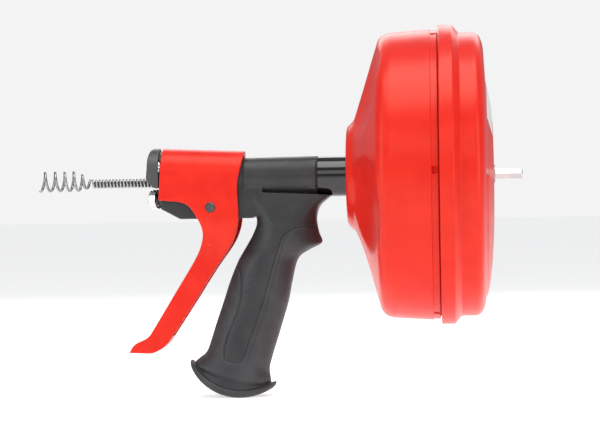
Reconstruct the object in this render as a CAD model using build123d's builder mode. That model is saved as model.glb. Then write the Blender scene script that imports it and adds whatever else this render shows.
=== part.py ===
from build123d import *
import os
from math import atan2, ceil, cos, pi, radians, sin

# Hand-held drain snake machine: a cable drum that a drill turns by a hex shank, a pistol grip
# whose guide tube carries the drum, and a feed lever that presses two skewed rollers on the cable.
# Frame: millimetres, +Z up, +X from the nose to the drive shank, origin on the drum axis where
# the shank leaves the drum. The tool's left side faces -Y.

os.makedirs("parts", exist_ok=True)

# ---------------------------------------------------------------- driving dimensions
cable_r = 3.175
cable_z = -2.6
cable_tail_x = -100.0
running = 0.05

shank_flats = 6.35
shank_length = 18.3
shank_turned_r = 6.0
hex_start_x = 0.6
plate_r = 24.0
plate_thickness = 3.0
plate_back_x = -3.3
plate_screw_ring_r = 17.0
plate_screw_r = 1.75
plate_screw_tip_x = -1.2

drum_r = 92.7
drum_wall = 2.5
drum_front_x = -95.5
drum_joint_x = -36.0
band_r = 97.2
band_front_x = -35.3
band_back_x = -27.1
hub_face_r = 30.0
scoop_count = 5
scoop_sphere_r = 70.0
scoop_depth = 5.4
scoop_mid_r = 63.0

journal_r = 12.0
collar_r = 13.2
collar_front_x = -114.5
collar_back_x = -95.9
tube_r = 10.2
tube_bore_r = 7.5
tube_front_x = -204.0
tube_back_x = -63.0

barrel_front_x = -204.0
barrel_back_x = -114.6
barrel_front_r = 12.4
barrel_back_r = 13.5
panel_rise = 0.7

pivot_x = -184.4
pivot_z = -19.2
pin_r = 3.25
squeeze_angle = 4.0

roller_r = 6.35
roller_width = 4.7625
axle_r = 3.175
roller_skew = 18.0
upper_roller_angle = 50.0
lower_roller_x = -221.9
lower_roller_z = -13.4
ball_r = 0.8
ball_count = 9
ball_ring_r = 4.76
race_gap = 0.5

shell_wall = 2.6
screw_places = [(-200.0, -19.5), (-165.5, -19.0), (-141.0, -27.0), (-157.0, -72.0), (-170.0, -106.0)]
screw_r = 1.5
screw_head_r = 3.0
screw_seat_y = 7.0
screw_length = 16.0
boss_r = 4.4
boss_length = 12.0
skin = 2.0
far = 200.0


def keep(piece, name):
    """Label a finished piece and write it to a STEP file of its own."""
    piece.part.label = name
    export_step(piece.part, f"parts/{name}.step")


def rod(plane, radius, length):
    """A round bar that starts on a plane and runs along its normal."""
    with BuildPart() as bar:
        with BuildSketch(plane):
            Circle(radius)
        extrude(amount=length)
    return bar.part


def block(low, high):
    """A box between two corners."""
    with BuildPart() as box:
        with Locations(tuple((a + b) / 2 for a, b in zip(low, high))):
            Box(*[b - a for a, b in zip(low, high)])
    return box.part


def across(centre, direction):
    """The plane through a point, square to a direction."""
    return Plane(origin=centre, z_dir=direction)


# ---------------------------------------------------------------- guide tube and drum bearing
ring_groove_x = -65.8
ring_width = 1.2
ring_groove_r = 10.9
thrust_washer_back_x = -67.1
bush_back_x = -68.3
bush_flange_r = 17.0
bush_r = 15.0

with BuildPart() as guide_tube:
    with BuildSketch() as tube_profile:
        with BuildLine():
            Polyline(
                (tube_front_x, tube_bore_r), (tube_front_x, tube_r), (collar_front_x, tube_r),
                (collar_front_x, collar_r), (collar_back_x, collar_r), (collar_back_x, journal_r),
                (tube_back_x, journal_r), (tube_back_x, tube_bore_r), close=True,
            )
        make_face()
        with Locations((ring_groove_x, (ring_groove_r + far) / 2)):
            Rectangle(ring_width, far - ring_groove_r, mode=Mode.SUBTRACT)
    revolve(axis=Axis.X)
keep(guide_tube, "guide_tube")

with BuildPart() as drum_bushing:
    with BuildSketch():
        with BuildLine():
            Polyline(
                (collar_back_x + 0.1, journal_r + running), (collar_back_x + 0.1, bush_flange_r),
                (drum_front_x + 1.5, bush_flange_r), (drum_front_x + 1.5, bush_r),
                (bush_back_x, bush_r), (bush_back_x, journal_r + running), close=True,
            )
        make_face()
    revolve(axis=Axis.X)
    chamfer(drum_bushing.edges().filter_by(GeomType.CIRCLE).group_by(Axis.X)[0], 0.3)
keep(drum_bushing, "drum_bushing")

with BuildPart() as thrust_washer:
    with BuildSketch(Plane.YZ.offset(bush_back_x + 0.05)):
        Circle(bush_flange_r + 0.5)
        Circle(journal_r + 0.1, mode=Mode.SUBTRACT)
    extrude(amount=thrust_washer_back_x - bush_back_x - 0.05)
keep(thrust_washer, "thrust_washer")

with BuildPart() as retaining_ring:
    with BuildSketch(Plane.YZ.offset(ring_groove_x - ring_width / 2 + 0.05)):
        Circle(bush_flange_r - 0.5)
        Circle(ring_groove_r, mode=Mode.SUBTRACT)
        with Locations((0, -far / 2)):
            Rectangle(9.0, far, mode=Mode.SUBTRACT)
    extrude(amount=ring_width - 0.1)
keep(retaining_ring, "retaining_ring")

# ---------------------------------------------------------------- drum
# Outer profile of the moulded front: hub face, coned front, rounded shoulder and side wall.
cone_start = (-90.6, 36.4)
cone_end = (-74.0, 88.6)
shoulder = (-66.5, drum_r)
hub_sleeve_r = 18.5
wall_back_r = 94.5
cone_tilt = atan2(cone_end[0] - cone_start[0], cone_end[1] - cone_start[1])


def front_profile(inset, back_x):
    """The half-profile of the drum front, pulled in by a wall thickness."""
    with BuildSketch() as profile:
        with BuildLine():
            hub = Line((drum_front_x + inset, 0), (drum_front_x + inset, hub_face_r - inset))
            rim = Spline(hub @ 1, (cone_start[0] + inset, cone_start[1] - inset / 2),
                         tangents=[(0, 1), (sin(cone_tilt), cos(cone_tilt))])
            cone = Line(rim @ 1, (cone_end[0] + inset, cone_end[1] - inset / 2))
            turn = Spline(cone @ 1, (shoulder[0] + inset / 2, shoulder[1] - inset),
                          tangents=[(sin(cone_tilt), cos(cone_tilt)), (1, 0.06)])
            side = Line(turn @ 1, (back_x, wall_back_r - inset))
            Polyline(side @ 1, (back_x, 0), hub @ 0)
        make_face()
    return profile.sketch


def scoop_centre(angle):
    """Centre of the sphere that hollows one finger scoop, at an angle from -Y towards +Z."""
    along = (scoop_mid_r - cone_start[1]) / (cone_end[1] - cone_start[1])
    face_x = cone_start[0] + along * (cone_end[0] - cone_start[0])
    lift = scoop_sphere_r - scoop_depth
    centre_r = scoop_mid_r + lift * sin(cone_tilt)
    turn = radians(angle)
    return (face_x - lift * cos(cone_tilt), -centre_r * cos(turn), centre_r * sin(turn))


scoop_angles = [-90 + 360 / scoop_count * number for number in range(scoop_count)]
snap_window_angles = [90 + 360 / scoop_count * number for number in range(scoop_count)]

with BuildPart() as drum_front_cavity:
    revolve(front_profile(drum_wall, drum_joint_x + 1), axis=Axis.X)
    for angle in scoop_angles:
        with Locations(scoop_centre(angle)):
            Sphere(scoop_sphere_r + drum_wall, mode=Mode.SUBTRACT)

with BuildPart() as hub_sleeve:
    with BuildSketch(Plane.YZ.offset(drum_front_x)):
        Circle(hub_sleeve_r)
    extrude(amount=bush_back_x - drum_front_x)

with BuildPart() as drum_front_shell:
    revolve(front_profile(0, drum_joint_x), axis=Axis.X)
    for angle in scoop_angles:
        with Locations(scoop_centre(angle)):
            Sphere(scoop_sphere_r, mode=Mode.SUBTRACT)
    add(drum_front_cavity.part, mode=Mode.SUBTRACT)
    add(hub_sleeve.part)
    with BuildSketch(Plane.YZ.offset(drum_front_x - 1)):
        Circle(bush_r)
    extrude(amount=drum_joint_x - drum_front_x, mode=Mode.SUBTRACT)
    with BuildSketch(Plane.YZ.offset(drum_front_x - 1)):
        Circle(bush_flange_r)
    extrude(amount=2.5, mode=Mode.SUBTRACT)
    for angle in snap_window_angles:
        turn = radians(angle)
        window = Plane(
            origin=(-37.2, -wall_back_r * cos(turn), wall_back_r * sin(turn)),
            x_dir=(1, 0, 0), z_dir=(0, -cos(turn), sin(turn)),
        )
        with BuildSketch(window.offset(-4)):
            Rectangle(1.8, 2.7)
        extrude(amount=8, mode=Mode.SUBTRACT)
keep(drum_front_shell, "drum_front_shell")

# Back cover: a raised band over the joint, a rounded corner and a shallow dome.
cover_wall_r = 92.1
corner_r = 8.0
cover_corner_x = -15.2
lap_r = wall_back_r - drum_wall - 0.1
lap_wall = 2.0
lap_front_x = -44.0
band_slope_x = -22.6
panel_inner_r = 40.0
panel_outer_r = 79.0
dome = [(-7.2, 82.4), (-5.2, 61.4), (-0.9, 35.1), (-0.4, 22.0), (-0.2, 0.0)]


def cover_profile(inset):
    """The half-profile of the back cover behind its band, pulled in by a wall thickness."""
    with BuildSketch() as profile:
        with BuildLine():
            side = Line((band_front_x, cover_wall_r - inset), (cover_corner_x, cover_wall_r - inset))
            corner = TangentArc(side @ 1, (dome[0][0] - inset, cover_wall_r - corner_r), tangent=(1, 0))
            cap = Spline(corner @ 1, *[(x - inset, r) for x, r in dome[1:]])
            Polyline(cap @ 1, (band_front_x, 0), side @ 0)
        make_face()
    return profile.sketch


with BuildPart() as drum_back_cover:
    revolve(cover_profile(0), axis=Axis.X)
    with BuildSketch() as band_profile:
        with BuildLine():
            Polyline(
                (band_front_x, cover_wall_r - 1), (band_front_x, band_r), (band_back_x, band_r - 0.5),
                (band_slope_x, cover_wall_r), (band_slope_x, cover_wall_r - 1), close=True,
            )
        make_face()
    revolve(axis=Axis.X)
    revolve(cover_profile(drum_wall), axis=Axis.X, mode=Mode.SUBTRACT)
    with BuildSketch() as lap_profile:
        with BuildLine():
            Polyline(
                (lap_front_x, lap_r - lap_wall), (lap_front_x, lap_r - 0.9), (band_front_x, lap_r),
                (band_front_x + lap_wall, cover_wall_r - 1),
                (band_front_x + lap_wall, cover_wall_r - drum_wall - 0.3),
                (band_front_x, lap_r - lap_wall), close=True,
            )
        make_face()
    revolve(axis=Axis.X)
    with BuildSketch() as panel_profile:
        with BuildLine():
            Polyline(
                (-5.2, panel_outer_r), (-3.4, 70.0), (-1.9, 56.6), (-1.0, 43.6), (-0.9, panel_inner_r),
                (dome[2][0] - 1.5, panel_inner_r), (dome[0][0] - 1.5, panel_outer_r), close=True,
            )
        make_face()
    revolve(axis=Axis((0, 0, 0), (-1, 0, 0)), revolution_arc=180)
    with BuildSketch(Plane.YZ.offset(drum_joint_x)):
        Circle(shank_turned_r)
    extrude(amount=-2 * drum_joint_x, mode=Mode.SUBTRACT)
    with BuildSketch(Plane.YZ.offset(plate_back_x)):
        with PolarLocations(plate_screw_ring_r, 4, start_angle=45):
            Circle(plate_screw_r)
    extrude(amount=plate_screw_tip_x - plate_back_x, mode=Mode.SUBTRACT)
keep(drum_back_cover, "drum_back_cover")

label_inner_r = 42.0
label_outer_r = 60.0
label_arc = 110

label_thickness = 0.3
label_profile = cover_profile(0).moved(Location((label_thickness, 0, 0)))

with BuildPart() as rear_label:
    revolve(label_profile, axis=Axis.X, revolution_arc=label_arc)
    with BuildSketch(Plane.YZ.offset(drum_joint_x)):
        Circle(far)
        Circle(label_outer_r, mode=Mode.SUBTRACT)
        Circle(label_inner_r)
    extrude(amount=-2 * drum_joint_x, mode=Mode.SUBTRACT)
    revolve(cover_profile(0), axis=Axis.X, mode=Mode.SUBTRACT)
rear_label.part = rear_label.part.rotate(Axis.X, 90 - label_arc / 2)
keep(rear_label, "rear_label")

# ---------------------------------------------------------------- drive parts
plate_front_x = plate_back_x - plate_thickness
spigot_r = shank_turned_r - 0.05

with BuildPart() as drive_shank:
    with BuildSketch(Plane.YZ.offset(plate_front_x)):
        Circle(spigot_r)
    extrude(amount=hex_start_x - plate_front_x)
    with BuildSketch(Plane.YZ.offset(hex_start_x)):
        RegularPolygon(shank_flats / 2, 6, major_radius=False)
    extrude(amount=shank_length - hex_start_x)
    chamfer(drive_shank.faces().sort_by(Axis.X)[-1].edges(), 0.6)
    with BuildSketch(Plane.YZ.offset(plate_front_x)):
        Circle(spigot_r + 3)
    extrude(amount=-2.0)
keep(drive_shank, "drive_shank")

with BuildPart() as drive_plate:
    with BuildSketch(Plane.YZ.offset(plate_front_x)):
        Circle(plate_r)
        Circle(spigot_r, mode=Mode.SUBTRACT)
        with PolarLocations(plate_screw_ring_r, 4, start_angle=45):
            Circle(plate_screw_r, mode=Mode.SUBTRACT)
    extrude(amount=plate_thickness)
keep(drive_plate, "drive_plate")

with BuildPart() as drive_screws:
    with BuildSketch(Plane.YZ.offset(plate_front_x)):
        with PolarLocations(plate_screw_ring_r, 4, start_angle=45):
            Circle(plate_screw_r)
    extrude(amount=plate_screw_tip_x - plate_front_x)
    with BuildSketch(Plane.YZ.offset(plate_front_x)):
        with PolarLocations(plate_screw_ring_r, 4, start_angle=45):
            Circle(3.2)
    extrude(amount=-2.2)
    with BuildSketch(Plane.YZ.offset(plate_front_x - 2.2)):
        with PolarLocations(plate_screw_ring_r, 4, start_angle=45):
            RegularPolygon(1.25, 6)
    extrude(amount=1.4, mode=Mode.SUBTRACT)
keep(drive_screws, "drive_screws")

# ---------------------------------------------------------------- cable in the drum
coil_pitch = 6.5
coil_turns = 7
coil_outer_r = 86.0
coil_inner_r = 79.4
coil_front_x = -62.0


def coil_layer(radius):
    """One helical layer of cable lying round the drum wall."""
    with BuildPart() as layer:
        with BuildLine() as turns:
            Helix(coil_pitch, coil_pitch * coil_turns, radius, center=(coil_front_x, 0, 0), direction=(1, 0, 0))
        with BuildSketch(across(turns.line @ 0, turns.line % 0)):
            Circle(cable_r)
        sweep(path=turns.line, is_frenet=True)
    return layer.part


with BuildPart() as cable_coil:
    add(coil_layer(coil_outer_r))
    add(coil_layer(coil_inner_r))
keep(cable_coil, "cable_coil")

# The outer layer ends against an anchor block screwed to the drum wall beside the back cover.
coil_end_x = coil_front_x + coil_pitch * coil_turns
anchor_low = (-19.3, -12.0, 83.0)
anchor_high = (-12.8, -0.1, 87.6)
anchor_screw_x = -16.0
anchor_screw_y = -6.0

with BuildPart() as cable_anchor:
    add(block(anchor_low, anchor_high))
    chamfer(cable_anchor.edges(), 0.4)
    add(rod(Plane(origin=(anchor_screw_x, anchor_screw_y, 80)), screw_r, 20), mode=Mode.SUBTRACT)
keep(cable_anchor, "cable_anchor")

with BuildPart() as anchor_screw:
    add(rod(Plane(origin=(anchor_screw_x, anchor_screw_y, anchor_high[2])), 2.6, 1.5))
    add(rod(Plane(origin=(anchor_screw_x, anchor_screw_y, anchor_low[2])), screw_r, anchor_high[2] - anchor_low[2]))
keep(anchor_screw, "anchor_screw")

# Free length from the inner layer's end to the straight cable in the guide tube.
loop_gap = 0.15
loop_points = [
    (coil_end_x, -loop_gap, coil_inner_r), (coil_end_x + 0.9, -27, coil_inner_r), (-15.8, -54, 46), (-20, -60, 2),
    (-24, -38, -40), (-25, 4, -54), (-24, 42, -38), (-21, 54, -2), (-18, 30, 18), (-23, 8, 6),
    (-48, 0, cable_z), (cable_tail_x, 0, cable_z),
]


def arc_radii(points):
    """The largest even arcs for the corners of a route."""
    radii = []
    for before, corner, after in zip(points, points[1:], points[2:]):
        arriving = Vector(*corner) - Vector(*before)
        leaving = Vector(*after) - Vector(*corner)
        half_turn = radians(arriving.get_angle(leaving)) / 2
        radii.append(0.45 * min(arriving.length, leaving.length) * cos(half_turn) / sin(half_turn))
    return radii


loop_radii = arc_radii(loop_points)
print("loop radii", [round(radius, 1) for radius in loop_radii])

with BuildPart() as cable_loop:
    with BuildLine() as loop_path:
        FilletPolyline(*loop_points, radius=loop_radii)
    with BuildSketch(across(loop_path.line @ 0, loop_path.line % 0)):
        Circle(cable_r)
    sweep(path=loop_path.line)
loop_length = sum(edge.length for edge in loop_path.edges())
print("loop volume", cable_loop.part.volume, "expected", pi * cable_r ** 2 * loop_length)
keep(cable_loop, "cable_loop")

# ---------------------------------------------------------------- cable through the tool
bulb_back_x = -264.0
bulb_tip_x = -299.4
bulb_lift = 1.8
bulb_wire_r = 0.9
bulb_coil_r = 6.1
bulb_turns = 5.5
bulb_taper_turns = 1.5
bulb_points_per_turn = 10

with BuildPart() as feed_cable:
    with BuildSketch(Plane.YZ.offset(cable_tail_x)):
        with Locations((0, cable_z)):
            Circle(cable_r)
    extrude(amount=bulb_back_x - cable_tail_x)
keep(feed_cable, "feed_cable")


def bulb_point(turn):
    """Centre of the auger wire, counted in turns forward from the cable's end."""
    swell = min(1.0, turn / bulb_taper_turns)
    radius = (cable_r - bulb_wire_r) + (bulb_coil_r - cable_r + bulb_wire_r) * swell
    length = bulb_back_x - bulb_tip_x - 2 * bulb_wire_r
    advance = length * (0.85 * turn / bulb_turns + 0.15 * (turn / bulb_turns) ** 2)
    angle = 2 * pi * turn
    return (
        bulb_back_x - bulb_wire_r - advance,
        radius * sin(angle),
        cable_z + bulb_lift * swell + radius * cos(angle),
    )


bulb_steps = ceil(bulb_turns * bulb_points_per_turn)

with BuildPart() as bulb_auger:
    with BuildLine() as bulb_wire:
        Spline(*[bulb_point(bulb_turns * step / bulb_steps) for step in range(bulb_steps + 1)])
    with BuildSketch(across(bulb_wire.line @ 0, bulb_wire.line % 0)):
        Circle(bulb_wire_r)
    sweep(path=bulb_wire.line, is_frenet=True)
keep(bulb_auger, "bulb_auger")

# ---------------------------------------------------------------- pistol grip handle
# Horizontal grip sections: height, front, back and half-width.
grip_sections = [
    (-9.0, -151.0, -106.5, 11.5),
    (-18.3, -152.3, -113.7, 14.0),
    (-27.0, -154.0, -115.7, 16.0),
    (-36.6, -158.2, -114.0, 17.2),
    (-43.2, -161.2, -112.9, 17.6),
    (-48.0, -163.8, -121.0, 17.8),
    (-53.5, -167.2, -128.8, 17.9),
    (-62.0, -171.3, -131.9, 18.0),
    (-80.5, -177.8, -135.1, 18.0),
    (-93.5, -182.4, -139.0, 18.0),
    (-106.5, -186.8, -143.2, 18.4),
    (-113.0, -189.4, -145.4, 18.8),
]
# Sections square to the foot: drop below its chord, half-length and half-width.
foot_sections = [(-2.5, 25.6, 19.8), (20.0, 27.5, 20.2)]
base_toe = (-200.8, -121.8)
base_low = (-165.3, -142.8)
base_heel = (-144.6, -137.0)
base_half_width = 21.0
base_half_length = 29.1
base_rim = 4.4


def foot_plane(drop):
    """A plane parallel to the chord of the grip's foot, a distance below the last section."""
    tilt = atan2(base_toe[1] - base_heel[1], base_heel[0] - base_toe[0])
    middle = Vector((base_toe[0] + base_heel[0]) / 2, 0, (base_toe[1] + base_heel[1]) / 2)
    normal = Vector(sin(tilt), 0, cos(tilt))
    return Plane(origin=middle - normal * drop, x_dir=(cos(tilt), 0, -sin(tilt)), z_dir=normal)


def grip_half(inset, side):
    """One side of the lofted grip, pulled in by an inset; side is -1 for left and 1 for right."""
    with BuildPart() as body:
        for number, (z, front, back, half_width) in enumerate(grip_sections):
            with BuildSketch(Plane.XY.offset(z + inset if number == 0 else z)):
                with Locations(((front + back) / 2, 0)):
                    Ellipse((back - front) / 2 - inset, half_width - inset)
                with Locations((0, -side * far)):
                    Rectangle(4 * far, 2 * far, mode=Mode.SUBTRACT)
        for drop, half_length, half_width in foot_sections:
            with BuildSketch(foot_plane(drop + inset)):
                Ellipse(half_length - inset, half_width - inset)
                with Locations((0, -side * far)):
                    Rectangle(4 * far, 2 * far, mode=Mode.SUBTRACT)
        loft(ruled=True)
    return body.part


def side_region(*outline, half_width=far):
    """A side-view outline given a width."""
    with BuildPart() as region:
        with BuildSketch(Plane.XZ):
            with BuildLine():
                for piece in outline:
                    add(piece)
            make_face()
        extrude(amount=half_width, both=True)
    return region.part


def raised(point, rise):
    """A point moved square to the foot's chord."""
    tilt = atan2(base_toe[1] - base_heel[1], base_heel[0] - base_toe[0])
    return (point[0] + rise * sin(tilt), point[1] + rise * cos(tilt))


def foot_curve(rise):
    """The curved sole in side view, raised by some depth."""
    return ThreePointArc(raised(base_toe, rise), raised(base_low, rise), raised(base_heel, rise))


def below_foot(rise):
    """Everything under the sole raised by some depth."""
    curve = foot_curve(rise)
    return side_region(curve, Polyline(
        curve @ 1, (-100, -125), (-100, -far), (-far - 60, -far), (-far - 60, -120), curve @ 0,
    ))


# The rubber skin wraps the grip's front, back and foot and leaves a plain panel on each side.
skin_top = Spline((-105, -33.3), (-128, -33.1), (-137.2, -38.2), (-141.3, -49.9), (-152.3, -85.8), (-162.5, -112.0))
skin_foot = Spline(skin_top @ 1, (-169.8, -118.6), (-176.8, -113.5), tangents=[(-0.4, -0.92), (0.05, 1)])
skin_front = Spline(skin_foot @ 1, (-176.2, -107.1), (-167.0, -83.6), (-165.0, -71.2), (-172.0, -55.5))
skin_rest = Polyline(skin_front @ 1, (-215, -50), (-215, -160), (-100, -160), (-100, -33.3), skin_top @ 0)
skin_region = side_region(skin_top, skin_foot, skin_front, skin_rest)

under_skin = below_foot(base_rim + 0.6)
under_grip = below_foot(base_rim / 2)


def grip_skin(side):
    """The rubber skin on one side of the grip."""
    return (grip_half(0, side) - under_skin - grip_half(skin, side)) & skin_region


with BuildPart() as grip_overmould:
    for side in (-1, 1):
        add(grip_skin(side))
    for x, z in screw_places:
        add(rod(Plane(origin=(x, 0, z), z_dir=(0, 1, 0)), screw_head_r + 0.5, 40), mode=Mode.SUBTRACT)
keep(grip_overmould, "grip_overmould")

# Handle shells: barrel with side panels, keel under the barrel, grip and foot.
panel_front_x = -163.0
panel_back_x = -115.4
panel_top_z = 10.0
panel_bottom_z = -7.8
keel_half_width = 12.4
keel_front_x = -216.9
keel_top_z = -10.2
pocket_half_width = 4.4
axle_boss_near = roller_width / 2 + 0.1
axle_boss_far = 9.0
axle_boss_r = 4.1
axle_length = 12.0
upper_axle_half = 3.6
lower_axis = (-cos(radians(roller_skew)), sin(radians(roller_skew)), 0)
lower_plane = across((lower_roller_x, 0, lower_roller_z), lower_axis)


def barrel_cone(extra):
    """The barrel's conical outside, grown by an extra radius."""
    with BuildPart() as cone:
        with BuildSketch():
            with BuildLine():
                Polyline(
                    (barrel_front_x, 0), (barrel_front_x, barrel_front_r + extra),
                    (barrel_back_x, barrel_back_r + extra), (barrel_back_x, 0), close=True,
                )
            make_face()
        revolve(axis=Axis.X)
    return cone.part


under_sole = below_foot(0)
under_rim = below_foot(base_rim)

with BuildPart() as foot_rim:
    with BuildSketch(foot_plane(30)):
        Ellipse(base_half_length, base_half_width)
    extrude(amount=45)
    add(under_rim, mode=Mode.INTERSECT)
    add(under_sole, mode=Mode.SUBTRACT)

keel_bottom_z = -26.5
pivot_plane = Plane(origin=(pivot_x, 0, pivot_z), z_dir=(0, 1, 0))


def handle_half(side):
    """One moulded half of the handle: barrel, side panel, keel, grip and foot."""
    own_side = block((-400, 0, -far), (far, far, far)) if side > 0 else block((-400, -far, -far), (far, 0, far))
    panel_box = block((panel_front_x, -far, panel_bottom_z), (panel_back_x, far, panel_top_z))
    with BuildPart() as half:
        add(barrel_cone(0))
        add(barrel_cone(panel_rise) & panel_box)
        with BuildSketch(Plane.XZ):
            with BuildLine():
                Polyline(
                    (keel_front_x, keel_top_z), (keel_front_x, -19.8), (-204.5, keel_bottom_z),
                    (-150.0, keel_bottom_z), (-150.0, -4.0), (barrel_front_x, -4.0),
                    (barrel_front_x, keel_top_z), close=True,
                )
            make_face()
        extrude(amount=keel_half_width, both=True)
        add(own_side, mode=Mode.INTERSECT)
        add(grip_half(0, side) - under_grip)
        add(foot_rim.part & own_side)
        # hollows of the grip and of the keel, with bosses left for the pivot and the screws
        add(grip_half(skin + shell_wall, side) & block((-400, -far, -116), (0, far, -27)), mode=Mode.SUBTRACT)
        add(block((-196, -9.8, -24.0), (-158, 9.8, -14.5)), mode=Mode.SUBTRACT)
        for x, z in screw_places:
            add(rod(Plane(origin=(x, 0, z), z_dir=(0, side, 0)), boss_r, boss_length))
        add(rod(Plane(origin=(pivot_x, 0, pivot_z), z_dir=(0, side, 0)), 6.5, boss_length))
        # spring pocket round the pivot and its way out below
        add(rod(pivot_plane.offset(-pocket_half_width), 7.0, 2 * pocket_half_width), mode=Mode.SUBTRACT)
        add(block(
            (pivot_x + 2.0, -pocket_half_width, keel_bottom_z - 5), (pivot_x + 9.0, pocket_half_width, pivot_z),
        ), mode=Mode.SUBTRACT)
        # bores: guide tube, pivot and lower roller axle
        add(rod(Plane.YZ.offset(barrel_front_x - 1), tube_r, 120), mode=Mode.SUBTRACT)
        add(rod(Plane.YZ.offset(collar_front_x), collar_r + running, 20), mode=Mode.SUBTRACT)
        add(rod(pivot_plane.offset(-far), pin_r + running, 2 * far), mode=Mode.SUBTRACT)
        add(rod(lower_plane.offset(-axle_boss_far), axle_boss_r, axle_boss_far - axle_boss_near) & own_side)
        add(rod(lower_plane.offset(-axle_length), axle_r, far), mode=Mode.SUBTRACT)
        # screw holes, bored from the right side
        for x, z in screw_places:
            seat = Plane(origin=(x, screw_seat_y, z), z_dir=(0, 1, 0))
            add(rod(seat, screw_head_r + 0.3, 20), mode=Mode.SUBTRACT)
            add(rod(seat.offset(-screw_length), screw_r, screw_length), mode=Mode.SUBTRACT)
        add(grip_skin(side), mode=Mode.SUBTRACT)
    return half.part


for name, side in (("handle_left_shell", -1), ("handle_right_shell", 1)):
    with BuildPart() as shell:
        add(handle_half(side))
    keep(shell, name)

with BuildPart() as handle_screws:
    for x, z in screw_places:
        side = Plane(origin=(x, screw_seat_y, z), z_dir=(0, 1, 0))
        add(rod(side.offset(-screw_length), screw_r, screw_length))
        add(rod(side, screw_head_r, 2.2))
        add(rod(side.offset(0.9), 1.3, 2.0), mode=Mode.SUBTRACT)
keep(handle_screws, "handle_screws")

# ---------------------------------------------------------------- nose bushing
nose_flange = 1.8
nose_sleeve = 14.0

with BuildPart() as nose_bushing:
    add(rod(Plane.YZ.offset(tube_front_x - nose_flange), tube_r, nose_flange))
    add(rod(Plane.YZ.offset(tube_front_x), tube_bore_r, nose_sleeve))
    bore_plane = Plane(origin=(tube_front_x - nose_flange - 1, 0, cable_z), z_dir=(1, 0, 0))
    add(rod(bore_plane, cable_r + 0.4, nose_flange + nose_sleeve + 2), mode=Mode.SUBTRACT)
keep(nose_bushing, "nose_bushing")


# ---------------------------------------------------------------- roller bearings
def race_ring(plane, outer, inner):
    """One bearing ring with its ball groove."""
    with BuildPart() as ring:
        with BuildSketch(plane.offset(-roller_width / 2)):
            Circle(outer)
            Circle(inner, mode=Mode.SUBTRACT)
        extrude(amount=roller_width)
        add(Solid.make_torus(ball_ring_r, ball_r + 0.05, plane), mode=Mode.SUBTRACT)
        chamfer(ring.edges().filter_by(GeomType.CIRCLE).group_by(SortBy.RADIUS)[-1], 0.2)
    return ring.part


def ball_set(plane):
    """The balls between two rings."""
    with BuildPart() as balls:
        with Locations(plane):
            with PolarLocations(ball_ring_r, ball_count):
                Sphere(ball_r)
    return balls.part


def axle_bolt(plane, front, back, head):
    """A headed axle through a bearing, measured from the bearing's middle."""
    with BuildPart() as bolt:
        add(rod(plane.offset(-back), axle_r, front + back))
        add(rod(plane.offset(front), head, 1.4))
        add(rod(plane.offset(front + 0.6), 1.3, 2.0), mode=Mode.SUBTRACT)
    return bolt.part


with BuildPart() as lower_axle:
    add(axle_bolt(lower_plane, roller_width / 2, axle_length, 4.1))
keep(lower_axle, "lower_axle")

with BuildPart() as lower_inner_race:
    add(race_ring(lower_plane, ball_ring_r - race_gap, axle_r))
keep(lower_inner_race, "lower_inner_race")

with BuildPart() as lower_balls:
    add(ball_set(lower_plane))
keep(lower_balls, "lower_balls")

with BuildPart() as lower_roller:
    add(race_ring(lower_plane, roller_r, ball_ring_r + race_gap))
keep(lower_roller, "lower_roller")


def upper_roller_plane(side):
    """The middle plane of an upper roller with the lever released; side is -1 or 1."""
    angle = radians(side * upper_roller_angle)
    reach = cable_r + roller_r + running
    pressed = Vector(lower_roller_x, reach * sin(angle), cable_z + reach * cos(angle))
    skew = radians(roller_skew)
    direction = Vector(-cos(skew), -sin(skew) * cos(angle), sin(skew) * sin(angle))
    arm = pressed - Vector(pivot_x, 0, pivot_z)
    lift = radians(-squeeze_angle)
    placed = Vector(
        pivot_x + arm.X * cos(lift) - arm.Z * sin(lift), arm.Y,
        pivot_z + arm.X * sin(lift) + arm.Z * cos(lift),
    )
    back = Vector(
        direction.X * cos(lift) - direction.Z * sin(lift), direction.Y,
        direction.X * sin(lift) + direction.Z * cos(lift),
    )
    return across(placed, back)


upper_planes = [upper_roller_plane(side) for side in (-1, 1)]

with BuildPart() as upper_axles:
    for plane in upper_planes:
        add(rod(plane.offset(-upper_axle_half), axle_r, 2 * upper_axle_half))
keep(upper_axles, "upper_axles")

with BuildPart() as upper_inner_races:
    for plane in upper_planes:
        add(race_ring(plane, ball_ring_r - race_gap, axle_r))
keep(upper_inner_races, "upper_inner_races")

with BuildPart() as upper_balls:
    for plane in upper_planes:
        add(ball_set(plane))
keep(upper_balls, "upper_balls")

for name, plane in zip(("upper_left_roller", "upper_right_roller"), upper_planes):
    with BuildPart() as upper_roller:
        add(race_ring(plane, roller_r, ball_ring_r + race_gap))
    keep(upper_roller, name)

# ---------------------------------------------------------------- feed lever
saddle_r = 16.3
saddle_wall = 2.8
saddle_tilt = radians(2.5)
saddle_plane = Plane(
    origin=(-218.2, 0, 3.6), x_dir=(0, 1, 0), z_dir=(cos(saddle_tilt), 0, -sin(saddle_tilt)),
)
arm_half_width = 9.0
lever_web_z = -29.6


def lever_front_view(inset):
    """The lever seen from the nose, pulled in by a wall, and run from end to end."""
    r = saddle_r - inset
    narrow = arm_half_width - inset
    with BuildPart() as blank:
        with BuildSketch(saddle_plane.offset(-20)):
            with BuildLine():
                ThreePointArc((-r, 0), (0, r), (r, 0))
                ends = []
                for side in (-1, 1):
                    cheek = Line((side * r, 0), (side * r, -26))
                    taper = Spline(cheek @ 1, (side * narrow, -56), tangents=[(0, -1), (0, -1)])
                    ends.append(Line(taper @ 1, (side * narrow, -125)) @ 1)
                Line(*ends)
            make_face()
        extrude(amount=120)
    return blank.part


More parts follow.
